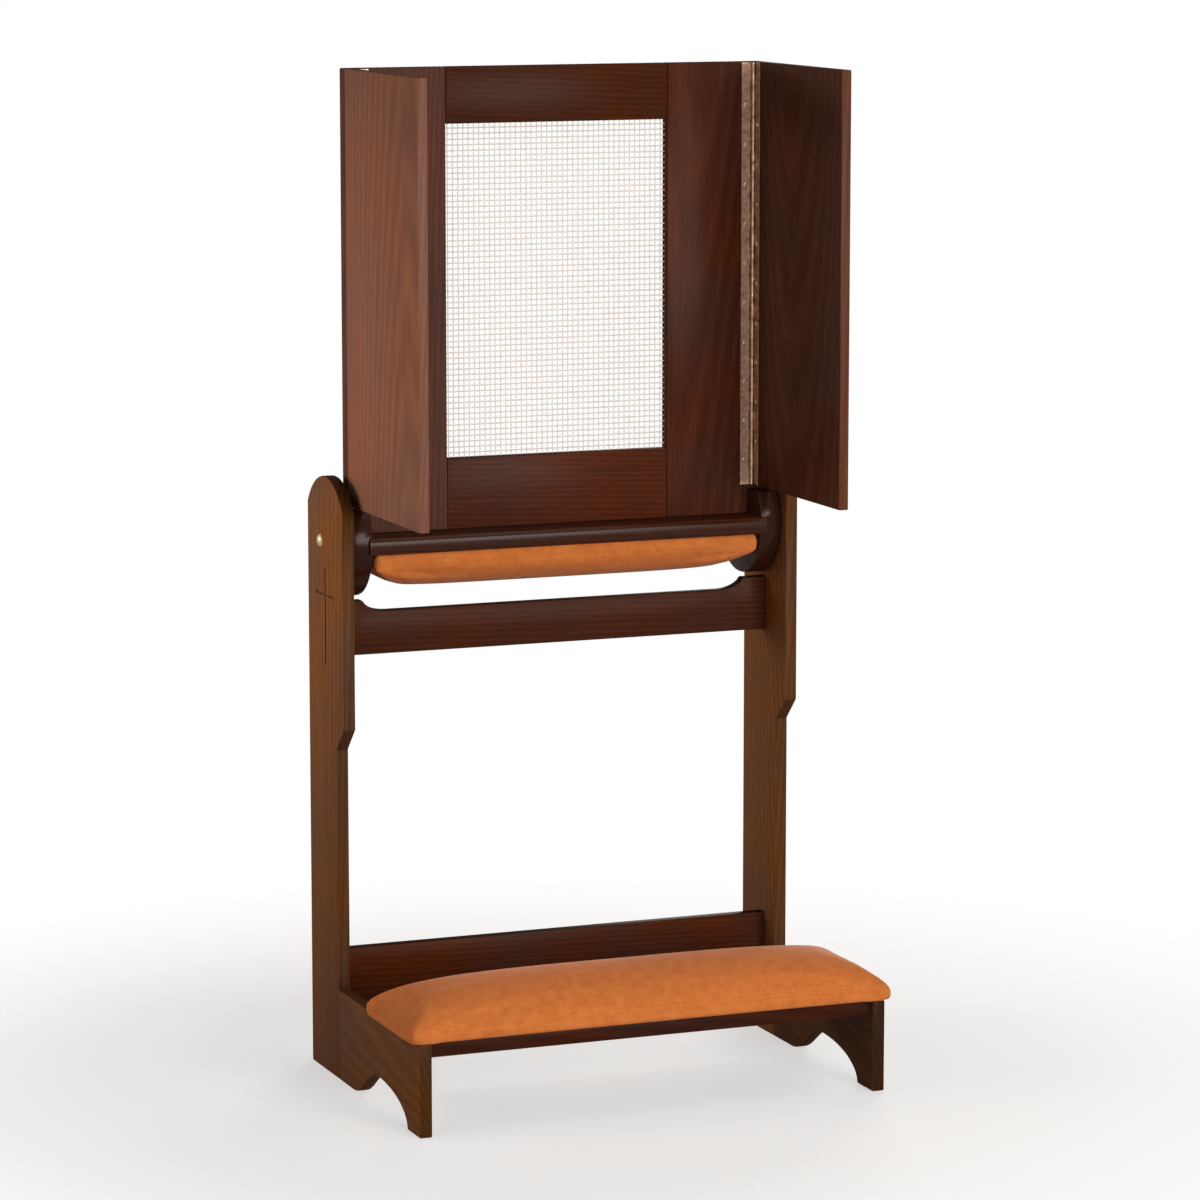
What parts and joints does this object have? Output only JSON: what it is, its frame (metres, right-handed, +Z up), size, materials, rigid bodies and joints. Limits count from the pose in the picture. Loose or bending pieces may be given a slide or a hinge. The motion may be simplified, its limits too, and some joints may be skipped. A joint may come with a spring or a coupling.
{
  "type": "confessional kneeler",
  "caption": "Dark stained wooden confessional kneeler with orange pads: a netted screen with folding wings stands on an armrest that turns over backwards into a prayer desk",
  "frame": {"origin": "on the floor, at the middle of the whole object's width and depth", "axes": "+X to the kneeling person's right, +Y away from that person towards the back of the object, +Z up"},
  "size_m": [0.641, 0.441, 1.275],
  "materials": {
    "stained_walnut": "dark walnut stain under a satin to glossy varnish",
    "beech_dowel": "bare turned beech",
    "orange_upholstery": "tightly woven rust-orange upholstery cloth over foam",
    "pale_net": "open pale net, stiffened and stretched flat",
    "antique_brass": "rolled brass strip with a dull antique finish",
    "brass": "machined brass",
    "plated_steel": "bright plated steel",
    "nylon": "moulded nylon"
  },
  "bodies": {
    "frame": {"left_upright": "stained_walnut", "right_upright": "stained_walnut", "left_foot_bracket": "stained_walnut", "right_foot_bracket": "stained_walnut", "upper_rail": "stained_walnut", "lower_rail": "stained_walnut", "kneeler_board": "stained_walnut", "kneeler_pad": "orange_upholstery", "left_bracket_dowel_1": "beech_dowel", "left_bracket_dowel_2": "beech_dowel", "right_bracket_dowel_1": "beech_dowel", "right_bracket_dowel_2": "beech_dowel", "left_pivot_bush": "nylon", "right_pivot_bush": "nylon", "left_stop_pin": "plated_steel", "right_stop_pin": "plated_steel"},
    "screen": {"armrest_board": "stained_walnut", "armrest_pad": "orange_upholstery", "left_cheek": "stained_walnut", "right_cheek": "stained_walnut", "left_pivot_bolt": "plated_steel", "right_pivot_bolt": "plated_steel", "left_pivot_insert": "brass", "right_pivot_insert": "brass", "screen_left_stile": "stained_walnut", "screen_right_stile": "stained_walnut", "screen_top_rail": "stained_walnut", "screen_bottom_rail": "stained_walnut", "screen_dowel_left": "beech_dowel", "screen_dowel_right": "beech_dowel", "screen_net": "pale_net", "net_bead_left": "stained_walnut", "net_bead_right": "stained_walnut", "net_bead_top": "stained_walnut", "net_bead_bottom": "stained_walnut", "left_hinge_screen_leaf": "antique_brass", "right_hinge_screen_leaf": "antique_brass", "left_hinge_pin": "antique_brass", "right_hinge_pin": "antique_brass"},
    "left_wing": {"left_wing": "stained_walnut", "left_hinge_wing_leaf": "antique_brass"},
    "right_wing": {"right_wing": "stained_walnut", "right_hinge_wing_leaf": "antique_brass"}
  },
  "joints": [
    {"name": "screen_flip", "type": "hinge", "parent": "frame", "child": "screen", "pos_m": [0, 0.1445, 0.684], "axis": [-1, 0, 0], "range_deg": [0, 180]},
    {"name": "left_wing_fold", "type": "hinge", "parent": "screen", "child": "left_wing", "pos_m": [-0.2667, 0.1122, 1], "axis": [0, 0, 1], "range_deg": [0, 90]},
    {"name": "right_wing_fold", "type": "hinge", "parent": "screen", "child": "right_wing", "pos_m": [0.2667, 0.1122, 1], "axis": [0, 0, -1], "range_deg": [0, 90]}
  ]
}
